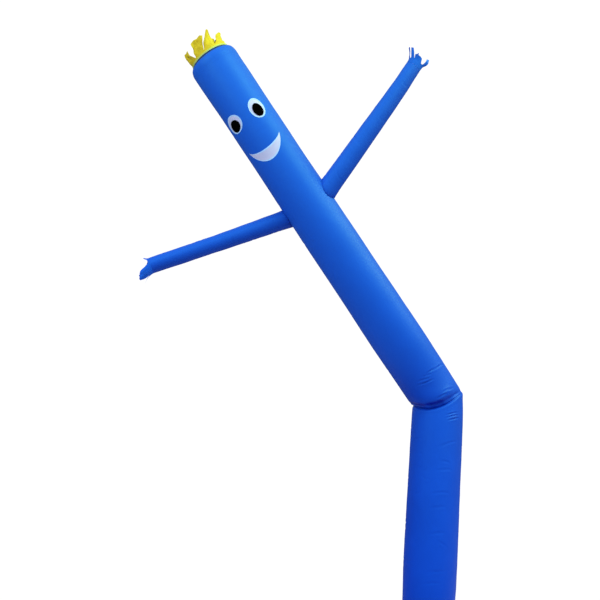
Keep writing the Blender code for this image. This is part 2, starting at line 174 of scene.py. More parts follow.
class Axis:
    """A straight axis with a front and a left direction across it."""

    def __init__(self, start, along, front_hint):
        self.start = start
        self.along = along.normalized()
        self.front = (front_hint - self.along * front_hint.dot(self.along)).normalized()
        self.left = self.front.cross(self.along)

    def across(self, angle):
        return self.front * math.cos(angle) + self.left * math.sin(angle)

    def point(self, distance, angle, radius):
        return self.start + self.along * distance + self.across(angle) * radius


leg_axis = Axis(FOLD_POINT, Vector((math.tan(math.radians(LEG_LEAN)), 0.0, 1.0)), Vector((0.0, -1.0, 0.0)))
tilt, heading = math.radians(UPPER_TILT), math.radians(UPPER_HEADING)
upper_along = Vector((
    -math.sin(tilt) * math.cos(heading), -math.sin(tilt) * math.sin(heading), math.cos(tilt)
))
upper_axis = Axis(
    FOLD_POINT, upper_along, leg_axis.along.rotation_difference(upper_along) @ leg_axis.front
)
front_turn = math.atan2(-upper_axis.left.y, -upper_axis.front.y)


def facing(angle, middle):
    """1 on the side of the tube that faces the middle angle, 0 on the opposite side."""
    return 0.5 + 0.5 * math.cos(angle - math.radians(middle))


def crease_height(angle):
    """Distance of the crease from the fold point, along the leg's axis."""
    normal = (leg_axis.along + upper_axis.along).normalized()
    mitre = -leg_axis.across(angle).dot(normal) / leg_axis.along.dot(normal) * TUBE_RADIUS
    away = (angle - math.radians(FOLD_SAG_ANGLE) + math.pi) % (2.0 * math.pi) - math.pi
    sag = math.cos(min(abs(away) / math.radians(FOLD_SAG_REACH), 1.0) * math.pi / 2.0) ** 2
    return mitre - FOLD_SAG * sag


def bent_radius(angle, slope):
    """The radius near the fold, where the outer corner draws in."""
    return TUBE_RADIUS - FOLD_CORNER * slope**3 * facing(angle, FOLD_CORNER_ANGLE) ** 2


def blend_pair(pair, angle):
    """Between a pair's first value round the back and its second where the fold is deepest."""
    return pair[0] + (pair[1] - pair[0]) * facing(angle, FOLD_SIDE) ** 3


def tube_rings(angles):
    """The sections of the tube that its cloth passes through, from the hem to the cap."""
    rings = []
    for height, offset, radius in LEG_SECTIONS:
        share = min(max((height - HEM_HEIGHT) / 0.3, 0.0), 1.0)
        upright = Vector((0.0, 0.0, 1.0)).lerp(leg_axis.along, share)
        section = Axis(Vector((offset, 0.0, height)), upright, leg_axis.front)
        rings.append([section.point(0.0, a, radius) for a in angles])
    for distance, slope, depth in BELOW_FOLD:
        rings.append([
            leg_axis.point(
                distance + slope * crease_height(a), a,
                bent_radius(a, slope) - depth * blend_pair(FOLD_DEPTH, a),
            )
            for a in angles
        ])
    for distance, slope, swell in ABOVE_FOLD:
        ring = []
        for a in angles:
            to_crease = leg_axis.point(crease_height(a), a, bent_radius(a, 1.0)) - FOLD_POINT
            up = to_crease.dot(upper_axis.along)
            out = (upper_axis.across(a) * UPPER_SECTIONS[0][1]).lerp(
                to_crease - upper_axis.along * up, slope
            )
            out += out.normalized() * swell * blend_pair(FOLD_SWELL, a)
            ring.append(FOLD_POINT + upper_axis.along * (distance + slope * up) + out)
        rings.append(ring)
    rings += [[upper_axis.point(d, a, r) for a in angles] for d, r in UPPER_SECTIONS[1:]]
    return np.array(rings)


def thread(rings, spacing):
    """Rows of points on smooth curves through the rings, spaced as asked along the cloth."""
    steps = np.linalg.norm(np.diff(rings, axis=0), axis=2).mean(axis=1)
    knots = np.concatenate(([0.0], np.cumsum(steps)))
    places = [0.0]
    while places[-1] < knots[-1]:
        places.append(places[-1] + spacing(places[-1]))
    places = np.array(places) * knots[-1] / places[-1]
    slopes = np.diff(rings, axis=0) / steps[:, None, None]
    tangents = np.empty_like(rings)
    tangents[0], tangents[-1] = slopes[0], slopes[-1]
    share = (steps[:-1] / (steps[:-1] + steps[1:]))[:, None, None]
    tangents[1:-1] = slopes[:-1] * (1.0 - share) + slopes[1:] * share
    index = np.clip(np.searchsorted(knots, places, side="right") - 1, 0, len(steps) - 1)
    gap = steps[index][:, None, None]
    t = ((places - knots[index]) / steps[index])[:, None, None]
    rows = (
        (2 * t**3 - 3 * t**2 + 1) * rings[index] + (t**3 - 2 * t**2 + t) * gap * tangents[index]
        + (3 * t**2 - 2 * t**3) * rings[index + 1] + (t**3 - t**2) * gap * tangents[index + 1]
    )
    return rows, places


def tube_spacing(place):
    """Rows lie close at the hem, at the fold and down the leg, where the cloth wrinkles."""
    if place < 0.055:
        return 0.005
    from_fold = place - FOLD_PLACE
    if abs(from_fold) < 0.26:
        return 0.0055
    if -0.45 < from_fold < 0.45:
        return 0.0072
    if -1.70 < from_fold < 0.0:
        return 0.0100
    return 0.0125 if from_fold < 0.9 else 0.0195


def rough(seed, count, low, high):
    """Slow waves with random turns, for unevenness that never repeats."""
    dice = np.random.default_rng(seed)
    closeness = dice.uniform(low, high, (count, 1))
    turns = dice.uniform(0.0, 2.0 * math.pi, count)
    waves = closeness * np.stack([np.cos(turns), np.sin(turns)], axis=1)
    phases = dice.uniform(0.0, 2.0 * math.pi, count)

    def height(x, y):
        total = np.zeros(np.broadcast(x, y).shape)
        for (a, b), phase in zip(waves, phases):
            total += np.sin(a * x + b * y + phase)
        return total / math.sqrt(count)

    return height


def hump(distance, middle, width):
    """A soft bump that is 1 at its middle and fades over its width."""
    return np.exp(-(((distance - middle) / width) ** 2))


def creases(across, along, strokes, girth):
    """Height of the cloth at each point, from short creases drawn as strokes on the flat sheet."""
    height = np.zeros(np.broadcast(across, along).shape)
    for x0, y0, x1, y1, width, depth in strokes:
        length = math.hypot(x1 - x0, y1 - y0)
        dx, dy = (x1 - x0) / length, (y1 - y0) / length
        side = (across - x0 + girth / 2.0) % girth - girth / 2.0
        step = side * dx + (along - y0) * dy
        off = (side * -dy + (along - y0) * dx) + 0.05 * length * np.sin(math.pi * step / length)
        taper = np.clip(step / length, 0.0, 1.0)
        taper = np.sin(math.pi * taper) ** 0.7 * (step > 0.0) * (step < length)
        shape = (off / width) ** 2
        height -= depth * taper * (1.0 - 0.9 * shape) * np.exp(-0.5 * shape)
    return height


angles = [2.0 * math.pi * i / COLUMNS - math.pi for i in range(COLUMNS + 1)]
rows, places = thread(tube_rings(angles), tube_spacing)
up_cloth = places[:, None]
girth = 2.0 * math.pi * TUBE_RADIUS
arc = np.array(angles)[None, :] * TUBE_RADIUS
fold_place = float(places[np.argmin(np.abs(rows[:, COLUMNS // 2, 2] - 2.24))])
leg_along = (rows - np.array(FOLD_POINT)) @ np.array(leg_axis.along)
up_along = (rows - np.array(FOLD_POINT)) @ np.array(upper_axis.along)
is_leg = (places < fold_place)[:, None]

# Creases seen in the photograph: distance along the axis from the fold and angle (degrees) of each
# crease's two ends.
LEG_CREASES = (
    (-0.166, -10.5, -0.122, -42.5), (-0.190, -9.5, -0.140, -48.0), (-0.210, -14.5, -0.170, -44.0),
    (-0.466, 9.5, -0.372, -41.8), (-0.563, -2.4, -0.570, -23.6), (-0.652, 7.3, -0.627, -29.6),
    (-0.845, 13.4, -0.820, -27.0), (-0.969, 16.0, -0.939, -18.4), (-1.180, 17.5, -1.148, -21.0),
    (-1.219, -3.8, -1.273, -27.8), (-1.479, 17.8, -1.455, -25.6), (-1.576, 25.1, -1.544, -12.6),
)
UPPER_CREASES = (
    (0.304, 1.0, 0.290, -30.0), (0.290, -26.0, 0.264, -62.0), (0.297, 10.0, 0.274, -15.0),
    (0.288, 24.0, 0.258, -5.0), (0.259, 26.0, 0.236, 4.0), (0.243, 12.0, 0.226, -12.0),
    (0.076, 5.0, 0.052, -27.0), (0.074, -18.0, 0.054, -42.0), (0.090, -14.0, 0.074, -34.0),
)


def drawn(table, width, depth):
    """The creases of a table as strokes on the flat sheet."""
    turn = math.radians(1.0) * TUBE_RADIUS
    return [(a0 * turn, s0, a1 * turn, s1, width, depth) for s0, a0, s1, a1 in table]


def scattered(seed, count, low, high, width, depth, avoid=None):
    """More creases of the same kind, in small groups round the rest of the tube."""
    dice = np.random.default_rng(seed)
    strokes = []
    while len(strokes) < count:
        middle = dice.uniform(-math.pi, math.pi)
        if avoid and avoid[0] < math.degrees(middle) < avoid[1]:
            continue
        place = dice.uniform(low, high)
        for _ in range(dice.integers(1, 4)):
            half = dice.uniform(0.035, 0.075)
            x = middle * TUBE_RADIUS + dice.normal(0.0, 0.03)
            y = place + dice.normal(0.0, 0.035)
            rise = dice.normal(0.0, 0.22)
            strokes.append((x - half, y - half * rise, x + half, y + half * rise,
                            width * dice.uniform(0.8, 1.3), depth * dice.uniform(0.5, 1.1)))
    return strokes


leg_strokes = drawn(LEG_CREASES[:3], width=0.0078, depth=0.0062)
leg_strokes += drawn(LEG_CREASES[3:], width=0.0085, depth=0.0042)
leg_strokes += scattered(
    seed=3, count=70, low=-2.2, high=-0.12, width=0.0075, depth=0.0024, avoid=(-50.0, 30.0)
)
upper_strokes = drawn(UPPER_CREASES, width=0.0078, depth=0.0062)
upper_strokes += scattered(
    seed=8, count=26, low=0.10, high=1.0, width=0.009, depth=0.0018, avoid=(-65.0, 25.0)
)
upper_strokes += scattered(seed=9, count=34, low=1.1, high=3.5, width=0.016, depth=0.0014)
leg_part = creases(arc, leg_along, leg_strokes, girth)
upper_part = creases(arc, up_along, upper_strokes, girth)
wave = rough(4, 9, 5.0, 16.0)(arc, up_cloth) * 0.0011
wave += rough(5, 14, 22.0, 60.0)(arc, up_cloth) * 0.00045 * np.where(is_leg, 1.0, 0.45)
over_fold = leg_along - np.array([crease_height(a) for a in angles])[None, :]

# The fold in front: a lip on the leg, a groove over it, and cloth that swells above the groove.
turn_front = arc / TUBE_RADIUS
fold_side = np.cos(np.clip((turn_front - math.radians(4.0)) / 1.25, -math.pi / 2, math.pi / 2))
uneven = 1.0 + 0.35 * np.sin(arc / 0.031 + 0.6) + 0.25 * np.sin(arc / 0.013 + 2.0)
near_fold = fold_side * (np.abs(over_fold) < 0.2)
swell_side = np.clip(np.cos(turn_front - 0.1), 0.0, 1.0) ** 2
bulge_at = math.radians(-24.0) * TUBE_RADIUS
wave += 0.0030 * near_fold * hump(over_fold, -0.011, 0.008)
wave += 0.0150 * swell_side * hump(over_fold, 0.085, 0.055)
wave -= 0.0160 * near_fold * uneven * hump(over_fold, 0.026, 0.013)
wave += 0.0100 * hump(arc, bulge_at, 0.045) * hump(over_fold, 0.075, 0.022)

# Painted shade: the cloth is coloured dark deep in the groove and on the underside above the fold,
# where shade falls. Along the hem it is also coloured dark.
groove_side = np.clip((np.degrees(turn_front) + 38.0) / 26.0, 0.0, 1.0)
painted_shade_and_dark_hem = np.clip(near_fold * uneven, 0.0, 1.3) * hump(over_fold, 0.030, 0.017) * groove_side
under_side = np.clip(np.cos(turn_front - math.radians(48.0)), 0.0, 1.0)
under_fold = under_side * (over_fold > 0.0) * hump(over_fold, 0.0, 0.40)
painted_shade_and_dark_hem = painted_shade_and_dark_hem + 0.6 * under_fold * (1.0 - 0.5 * is_leg)
painted_shade_and_dark_hem = painted_shade_and_dark_hem + 0.3 * uneven * np.exp(-up_cloth / 0.02)

# The hem is doubled cloth, and its stitches and the long seam's draw the cloth together.
turned_hem = 0.0014 * np.clip((HEM_HEIGHT - up_cloth) / 0.005, 0.0, 1.0)
hem_pucker = 0.0016 * np.sin(arc / 0.011) * hump(up_cloth, 0.045, 0.03)
seam_pucker = -0.0030 * hump(np.abs(arc), girth / 2.0, 0.010)
seam_pucker = seam_pucker * (1.0 + 0.35 * np.sin(up_cloth / 0.012))
edge_fade = np.clip(up_cloth / 0.05, 0.0, 1.0) * np.clip((places[-1] - up_cloth) / 0.05, 0.0, 1.0)
lift = (np.where(is_leg, leg_part, upper_part) + wave + seam_pucker) * edge_fade
lift = lift + turned_hem + hem_pucker
lift[:, [0, -1]] = lift[:, [0, -1]].mean(axis=1, keepdims=True)  # so both edges of the seam meet
around = np.roll(rows[:, :-1], -1, axis=1) - np.roll(rows[:, :-1], 1, axis=1)
around = np.concatenate([around, around[:, :1]], axis=1)
upward = np.gradient(rows, axis=0)
normals = np.cross(upward, around)
normals /= np.linalg.norm(normals, axis=2, keepdims=True)
middles = rows.mean(axis=1, keepdims=True)
normals *= np.sign(((rows - middles) * normals).sum(axis=2, keepdims=True))
rows = rows + normals * lift[:, :, None]


def roll_cloth(name, rows, flat_width, flat_length, darkening=None):
    """Lay out a flat sheet, roll it into the given rows of points, and close its long seam. The values
    given for each point go into a point attribute of painted shade, which dims the cloth's colour
    where shade falls; on the body it also dims the hem."""
    high, wide = rows.shape[0], rows.shape[1]
    bpy.ops.mesh.primitive_grid_add(x_subdivisions=wide - 1, y_subdivisions=high - 1, size=1.0)
    obj = bpy.context.object
    obj.name = obj.data.name = name
    flat = np.empty(len(obj.data.vertices) * 3)
    obj.data.vertices.foreach_get("co", flat)
    flat = flat.reshape(-1, 3) + 0.5
    column = np.rint(flat[:, 0] * (wide - 1)).astype(int)
    row = np.rint(flat[:, 1] * (high - 1)).astype(int)
    obj.data.vertices.foreach_set("co", rows[row, column].ravel())
    loops = obj.data.uv_layers.active.data
    square = np.empty(len(loops) * 2)
    loops.foreach_get("uv", square)
    loops.foreach_set("uv", (square.reshape(-1, 2) * (flat_width, flat_length)).ravel())
    if darkening is not None:
        darkening_layer = obj.data.attributes.new("painted_shade_and_dark_hem", "FLOAT", "POINT")
        darkening_layer.data.foreach_set("value", darkening[row, column])
    obj.data.update()
    bpy.ops.object.mode_set(mode="EDIT")
    bpy.ops.mesh.select_all(action="SELECT")
    bpy.ops.mesh.remove_doubles(threshold=0.00005)
    bpy.ops.mesh.normals_make_consistent(inside=False)
    bpy.ops.mesh.select_all(action="DESELECT")
    bpy.ops.object.mode_set(mode="OBJECT")
    bpy.ops.object.shade_smooth()
    return obj


def give_wall(obj, thickness, offset=-1.0):
    """Give the cloth its thickness, for good."""
    wall = obj.modifiers.new("wall", "SOLIDIFY")
    wall.thickness = thickness
    wall.offset = offset
    bpy.context.view_layer.objects.active = obj
    bpy.ops.object.modifier_apply(modifier="wall")
    obj.select_set(True)
    bpy.ops.object.shade_smooth_by_angle(angle=math.radians(50.0))
    bpy.ops.object.select_all(action="DESELECT")


ARM_STATION = 2.160
RIGHT_ARM_ANGLE, LEFT_ARM_ANGLE = -67.0, 113.0
RIGHT_ARM_LINE = (0.575, -0.180, 0.815)
LEFT_ARM_LINE = (-0.935, -0.055, -0.382)


def arm_axis(angle, line):
    """The straight line of an arm, from its root on the tube."""
    root = upper_axis.point(ARM_STATION, math.radians(angle) + front_turn, TUBE_RADIUS)
    return Axis(root, Vector(line), Vector((0.0, -1.0, 0.0)))


right_axis = arm_axis(RIGHT_ARM_ANGLE, RIGHT_ARM_LINE)
left_axis = arm_axis(LEFT_ARM_ANGLE, LEFT_ARM_LINE)

body = roll_cloth("body_tube", rows, girth, float(places[-1]), darkening=painted_shade_and_dark_hem)
body_tree = BVHTree.FromPolygons(
    [v.co.copy() for v in body.data.vertices], [tuple(p.vertices) for p in body.data.polygons]
)
for axis, hole in ((right_axis, 0.066), (left_axis, 0.062)):
    for face in body.data.polygons:
        away = face.center - axis.start
        on_line = away.dot(axis.along)
        face.select = abs(on_line) < 0.16 and (away - axis.along * on_line).length < hole
    bpy.ops.object.mode_set(mode="EDIT")
    bpy.ops.mesh.select_mode(type="FACE")
    bpy.ops.mesh.delete(type="FACE")
    bpy.ops.object.mode_set(mode="OBJECT")
give_wall(body, CLOTH_WALL)


seam_lines = {"blue": [], "white": [], "black": []}


def sew_along(points, outs, thread="blue"):
    """Remember a line of stitches by its points and the directions that point out of the cloth."""
    seam_lines[thread].append((np.array(points), np.array(outs)))


for hem_place in HEM_STITCHES:
    hem_row = int(np.argmin(np.abs(places - hem_place)))
    sew_along(rows[hem_row], normals[hem_row])
sew_along(rows[-2], normals[-2])
sew_along(rows[:-2, 0] * 0.55 + rows[:-2, 1] * 0.45, normals[:-2, 0])


WEAVE, RIB = 0.0011, 0.006  # distances between threads and between the thicker ribs


def nylon(name, dark, light, roughness, specular, tint, high=None, mark=None):
    """Thin coated nylon: a fine weave with a rib grid, soft crinkles, and colour that drifts a little
    between dark and light. The colour can grow paler with height to high, which is painted light,
    and turn to a mark's colour by the attribute that the mark names. On the blue cloth that mark is
    painted shade."""
    mat = bpy.data.materials.new(name)
    mat.use_nodes = True
    shader = mat.node_tree.nodes["Principled BSDF"]
    node, link = mat.node_tree.nodes.new, mat.node_tree.links.new
    place = node("ShaderNodeTexCoord")
    drift = node("ShaderNodeTexNoise")
    drift.inputs["Scale"].default_value = 2.2
    drift.inputs["Detail"].default_value = 3.0
    shade = node("ShaderNodeValToRGB")
    shade.color_ramp.elements[0].position, shade.color_ramp.elements[1].position = 0.32, 0.70
    shade.color_ramp.elements[0].color = (*dark, 1.0)
    shade.color_ramp.elements[1].color = (*light, 1.0)
    link(place.outputs["Object"], drift.inputs["Vector"])
    link(drift.outputs["Fac"], shade.inputs["Fac"])
    colour = shade.outputs["Color"]
    # Painted light: towards the top the colour grows paler and greener, a painted sheen standing in for
    # the light from above.
    if high:
        height = node("ShaderNodeSeparateXYZ")
        link(place.outputs["Object"], height.inputs[0])
        light_by_height = node("ShaderNodeMapRange")
        light_by_height.inputs["From Min"].default_value, light_by_height.inputs["From Max"].default_value = 0.3, 5.4
        link(height.outputs["Z"], light_by_height.inputs["Value"])
        pale = node("ShaderNodeMix")
        pale.data_type = "RGBA"
        pale.inputs[7].default_value = (*high, 1.0)
        link(light_by_height.outputs["Result"], pale.inputs[0])
        link(colour, pale.inputs[6])
        colour = pale.outputs[2]
    if mark:
        layer, marked, share = mark
        where = node("ShaderNodeAttribute")
        where.attribute_name = layer
        amount = node("ShaderNodeMath")
        amount.operation = "MULTIPLY"
        amount.use_clamp = True
        amount.inputs[1].default_value = share
        link(where.outputs["Fac"], amount.inputs[0])
        blend = node("ShaderNodeMix")
        blend.data_type = "RGBA"
        blend.inputs[7].default_value = (*marked, 1.0)
        link(amount.outputs["Value"], blend.inputs[0])
        link(colour, blend.inputs[6])
        colour = blend.outputs[2]
    link(colour, shader.inputs["Base Color"])
    crinkle = node("ShaderNodeTexNoise")
    crinkle.inputs["Scale"].default_value = 26.0
    crinkle.inputs["Detail"].default_value = 3.0
    crinkle.inputs["Roughness"].default_value = 0.55
    link(place.outputs["Object"], crinkle.inputs["Vector"])
    folds = node("ShaderNodeBump")
    folds.inputs["Strength"].default_value = 0.11
    folds.inputs["Distance"].default_value = 0.010
    link(crinkle.outputs["Fac"], folds.inputs["Height"])
    threads = []
    for turned, period in ((False, WEAVE), (True, WEAVE), (False, RIB), (True, RIB)):
        wave_node = node("ShaderNodeTexWave")
        wave_node.bands_direction = "Y" if turned else "X"
        wave_node.inputs["Scale"].default_value = 2.0 * math.pi / (20.0 * period)
        link(place.outputs["UV"], wave_node.inputs["Vector"])
        threads.append(wave_node)
    total = threads[0].outputs["Fac"]
    for other, share in ((threads[1], 1.0), (threads[2], 2.0), (threads[3], 2.0)):
        join = node("ShaderNodeMath")
        join.operation = "MULTIPLY_ADD"
        join.inputs[1].default_value = share
        link(other.outputs["Fac"], join.inputs[0])
        link(total, join.inputs[2])
        total = join.outputs["Value"]
    cloth = node("ShaderNodeBump")
    cloth.inputs["Strength"].default_value = 0.10
    cloth.inputs["Distance"].default_value = 0.00025
    link(total, cloth.inputs["Height"])
    link(folds.outputs["Normal"], cloth.inputs["Normal"])
    link(cloth.outputs["Normal"], shader.inputs["Normal"])
    gloss = node("ShaderNodeMapRange")
    gloss.inputs["To Min"].default_value = roughness - 0.05
    gloss.inputs["To Max"].default_value = roughness + 0.07
    link(crinkle.outputs["Fac"], gloss.inputs["Value"])
    link(gloss.outputs["Result"], shader.inputs["Roughness"])
    shader.inputs["Specular IOR Level"].default_value = specular
    shader.inputs["Specular Tint"].default_value = (*tint, 1.0)
    return mat


# The high colour is painted light: a painted sheen that pales the cloth towards the top.
BLUE_LOOK = {
    "dark": (0.0006, 0.030, 0.49), "light": (0.0012, 0.042, 0.58), "high": (0.012, 0.098, 0.578),
    "roughness": 0.50, "specular": 0.32, "tint": (0.20, 0.95, 0.70),
}
# The mark's dark navy is painted shade, and on the body it also dims the hem.
blue_nylon = nylon("blue nylon cloth", **BLUE_LOOK, mark=("painted_shade_and_dark_hem", (0.0002, 0.002, 0.30), 0.9))
body.data.materials.append(blue_nylon)
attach(body, "root")
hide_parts("main_tube")


# ---------------------------------------------------------------- head cap
# A round panel of the same cloth, sewn to the top edge of the tube and blown into a low dome. The
# seam of the hair presses a ditch into it, and the air leaves through the vent in its middle.

CAP_SECTIONS = (
    (0.000, 0.2296), (0.018, 0.2296), (0.042, 0.2265), (0.066, 0.2180), (0.086, 0.2040),
    (0.099, 0.1840), (0.107, 0.1630), (0.112, 0.1400),
)
HAIR_RADIUS = 0.190
SEAM_GAP = 0.0003
DITCH_RADIUS, DITCH_WIDTH, DITCH_DEPTH = HAIR_RADIUS + 0.013, 0.012, 0.0045
cap_rings = np.array([
    [upper_axis.point(UPPER_LENGTH + SEAM_GAP + h, a, r) for a in angles] for h, r in CAP_SECTIONS
])
cap_rows, cap_places = thread(cap_rings, lambda place: 0.0045)
cap_arc = np.array(angles)[None, :]
near_rim = np.clip((cap_places[:, None] - 0.06) / 0.08, 0.0, 1.0)
cap_lift = 0.0022 * np.sin(31.0 * cap_arc + 2.0 * np.sin(3.0 * cap_arc)) * near_rim**2
cap_lift += 0.0012 * np.sin(11.0 * cap_arc + 0.7) * near_rim
cap_rows = cap_rows + np.array(upper_axis.along) * cap_lift[:, :, None]
cap_radius = np.linalg.norm(cap_rows - cap_rows.mean(axis=1, keepdims=True), axis=2)
ditch = np.exp(-(((cap_radius - DITCH_RADIUS) / DITCH_WIDTH) ** 4))
cap_rows = cap_rows - np.array(upper_axis.along) * (DITCH_DEPTH * ditch)[:, :, None]
cap = roll_cloth("head_dome", cap_rows, girth, float(cap_places[-1]), darkening=ditch)
give_wall(cap, CLOTH_WALL)
# The ditch lies in shadow, so the cap's cloth gets a deeper dark than the tube's.
cap_nylon = nylon(
    "blue nylon cloth of the cap", **BLUE_LOOK, mark=("painted_shade_and_dark_hem", (0.0004, 0.004, 0.024), 1.0)
)
cap.data.materials.append(cap_nylon)
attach(cap, "root")
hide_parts("head_cap")


# ---------------------------------------------------------------- arms
# Each arm is a tapered tube of the same cloth, sewn over a round hole in the side of the main tube.
# The cloth is drawn up in small gathers at that seam, and the open end widens into the hand.

# Distance along the arm's straight line, rise over it, radius.
RIGHT_ARM = (
    (-0.120, 0.004, 0.0960), (0.060, 0.004, 0.0945), (0.220, 0.001, 0.0920), (0.420, -0.001, 0.0890),
    (0.660, -0.003, 0.0860), (0.860, -0.005, 0.0820), (1.060, -0.006, 0.0785), (1.230, -0.005, 0.0755),
    (1.330, -0.002, 0.0725), (1.380, 0.000, 0.0712),
)
LEFT_ARM = (
    (-0.120, -0.010, 0.0885), (0.060, -0.010, 0.0855), (0.260, -0.009, 0.0820), (0.520, -0.010, 0.0785),
    (0.780, -0.007, 0.0760), (1.020, -0.004, 0.0740), (1.180, -0.001, 0.0725), (1.270, 0.000, 0.0718),
    (1.312, 0.000, 0.0712),
)
ARM_RADIUS, ARM_GIRTH = 0.07, 0.50
ARM_PITCH = 0.009  # of its rows of points
ARM_COLUMNS = 48
ROOT_GAP = 0.0012
NEAR_ROOT = 0.30
PLEATS = 17.0
GATHER_DEPTH, GATHER_REACH = 0.0042, 0.050


def sew_arm(name, axis, sections, seed, node):
    """An arm whose rows begin on the tube's cloth, with gathers at the root and a few creases."""
    columns = range(ARM_COLUMNS + 1)
    turns = [2.0 * math.pi * i / ARM_COLUMNS - math.pi / 2.0 for i in columns]
    up = axis.left if axis.left.z > 0.0 else -axis.left
    rings = np.array([
        [axis.point(d, a, r) + up * rise for a in turns] for d, rise, r in sections
    ])
    full = thread(rings, lambda place: ARM_PITCH)[0]
    along = np.array(axis.along)
    stations = (full - np.array(axis.start)) @ along
    near = int(np.argmin(np.abs(stations.mean(axis=1) - NEAR_ROOT)))
    roots = []
    for column in columns:
        hit = body_tree.ray_cast(Vector(full[near, column]), -axis.along)[0]
        roots.append((hit - axis.start).dot(axis.along) + ROOT_GAP)
    roots = np.array(roots)
    end = stations.mean(axis=1)[-1]
    count = int((end - roots.min()) / ARM_PITCH)
    rows = np.empty((count + 1, len(columns), 3))
    lengths = np.empty((count + 1, len(columns)))
    for column in columns:
        target = np.linspace(0.0, 1.0, count + 1) * (end - roots[column]) + roots[column]
        lengths[:, column] = target - roots[column]
        for k in range(3):
            rows[:, column, k] = np.interp(target, stations[:, column], full[:, column, k])
    dice = np.random.default_rng(seed)
    turn = np.array(turns)[None, :]
    pleats = np.sin(PLEATS * turn + 1.3 * np.sin(2.0 * turn))
    lift = np.exp(-lengths / GATHER_REACH) * GATHER_DEPTH * pleats
    strokes = []
    for _ in range(34):
        x, y = dice.uniform(-0.22, 0.22), dice.uniform(0.05, end - 0.05)
        half, rise = dice.uniform(0.02, 0.05), dice.normal(0.0, 0.35)
        strokes.append((x - half, y - half * rise, x + half, y + half * rise,
                        dice.uniform(0.009, 0.014), dice.uniform(0.0006, 0.0018)))
    lift += creases(turn * ARM_RADIUS, lengths, strokes, 2.0 * math.pi * ARM_RADIUS)
    uneven = rough(seed, 9, 10.0, 34.0)
    lift += uneven(np.cos(turn) * ARM_RADIUS, lengths + ARM_RADIUS * np.sin(turn)) * 0.0009
    centre = rows.mean(axis=1, keepdims=True)
    out = rows - centre
    out -= (out @ along)[:, :, None] * along
    out /= np.linalg.norm(out, axis=2, keepdims=True)
    rows = rows + out * lift[:, :, None]
    sew_along(rows[1], out[1])
    # Painted shade: the cloth is coloured dark on the underside and in the gathers at the root, where
    # shade falls.
    under_side = np.clip(-1.2 * out[:, :, 2] + 0.1, 0.0, 1.0)
    painted_shade = 0.65 * under_side + 0.7 * np.exp(-lengths / 0.016) * (0.7 - 0.3 * pleats)
    arm = roll_cloth(name, rows, ARM_GIRTH, float(end), darkening=np.clip(painted_shade, 0.0, 1.0))
    give_wall(arm, CLOTH_WALL)
    arm.data.materials.append(blue_nylon)
    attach(arm, "root")
    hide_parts(node)


sew_arm(
    "right_arm_tube", right_axis, RIGHT_ARM, seed=21, node="arm_right"
)
sew_arm(
    "left_arm_tube", left_axis, LEFT_ARM, seed=22, node="arm_left"
)


# ---------------------------------------------------------------- hair
# A band of thin yellow cloth sewn round the cap, cut into ribbons that the leaving air lifts and
# crumples. The ribbons in front follow the photograph, and those behind are guessed.

FRINGE_RADIUS = 0.2  # turns angles into lengths for the crumples and the weave
# Each strip: angle round the ring and width in its sides, length, lean outward and to the left,
# curl, twist (degrees), and how wide its tip is beside its foot.
HAIR_RIBBONS = (
    (-3.0, 5, 0.172, 4.0, -22.0, -10.0, 0.0, 0.22), (30.0, 4, 0.148, 8.0, -27.0, -10.0, 14.0, 1.35),
    (66.0, 5, 0.112, 46.0, -6.0, -70.0, 0.0, 0.75), (104.0, 4, 0.080, -30.0, -10.0, 20.0, 20.0, 0.70),
    (140.0, 4, 0.115, -5.0, -10.0, 20.0, 0.0, 0.80), (176.0, 4, 0.165, 10.0, 16.0, 20.0, 10.0, 0.70),
    (212.0, 4, 0.190, 6.0, 12.0, -30.0, 0.0, 0.50), (248.0, 4, 0.125, -14.0, 0.0, -20.0, 20.0, 0.70),
    (284.0, 4, 0.050, -30.0, 0.0, 0.0, -30.0, 0.60), (322.0, 4, 0.126, 4.0, -33.0, -16.0, -20.0, 0.45),
)


def strip_rows(edge, along, out, length, lean_out, lean_left, curl, twist, tip, steps=5):
    """Rows of points of a strip that leaves its edge, curls, turns about itself and ends round."""
    here = sum(edge, Vector()) / len(edge)
    offsets = [point - here for point in edge]
    left = out.cross(along)
    rows = []
    for i in range(1, steps + 1):
        turn = math.radians(lean_out + curl * (i - 0.5) / steps)
        step = along * math.cos(turn) + out * math.sin(turn)
        step = (step + left * math.tan(math.radians(lean_left))).normalized()
        here = here + step * (length / steps)
        spin = Matrix.Rotation(math.radians(twist) * i / steps, 3, step)
        narrow = 1.0 + (tip - 1.0) * i / steps
        rows.append([here + spin @ offset * narrow for offset in offsets])
    if len(edge) > 3:
        for corner in (0, -1):
            rows[-1][corner] = rows[-2][corner].lerp(rows[-1][corner], 0.4)
    return rows


def finish_mesh(bm, name):
    """Make an object of the drawn faces, ready for the next operators."""
    mesh = bpy.data.meshes.new(name)
    bm.to_mesh(mesh)
    bm.free()
    obj = bpy.data.objects.new(name, mesh)
    bpy.context.scene.collection.objects.link(obj)
    bpy.context.view_layer.objects.active = obj
    obj.select_set(True)
    return obj


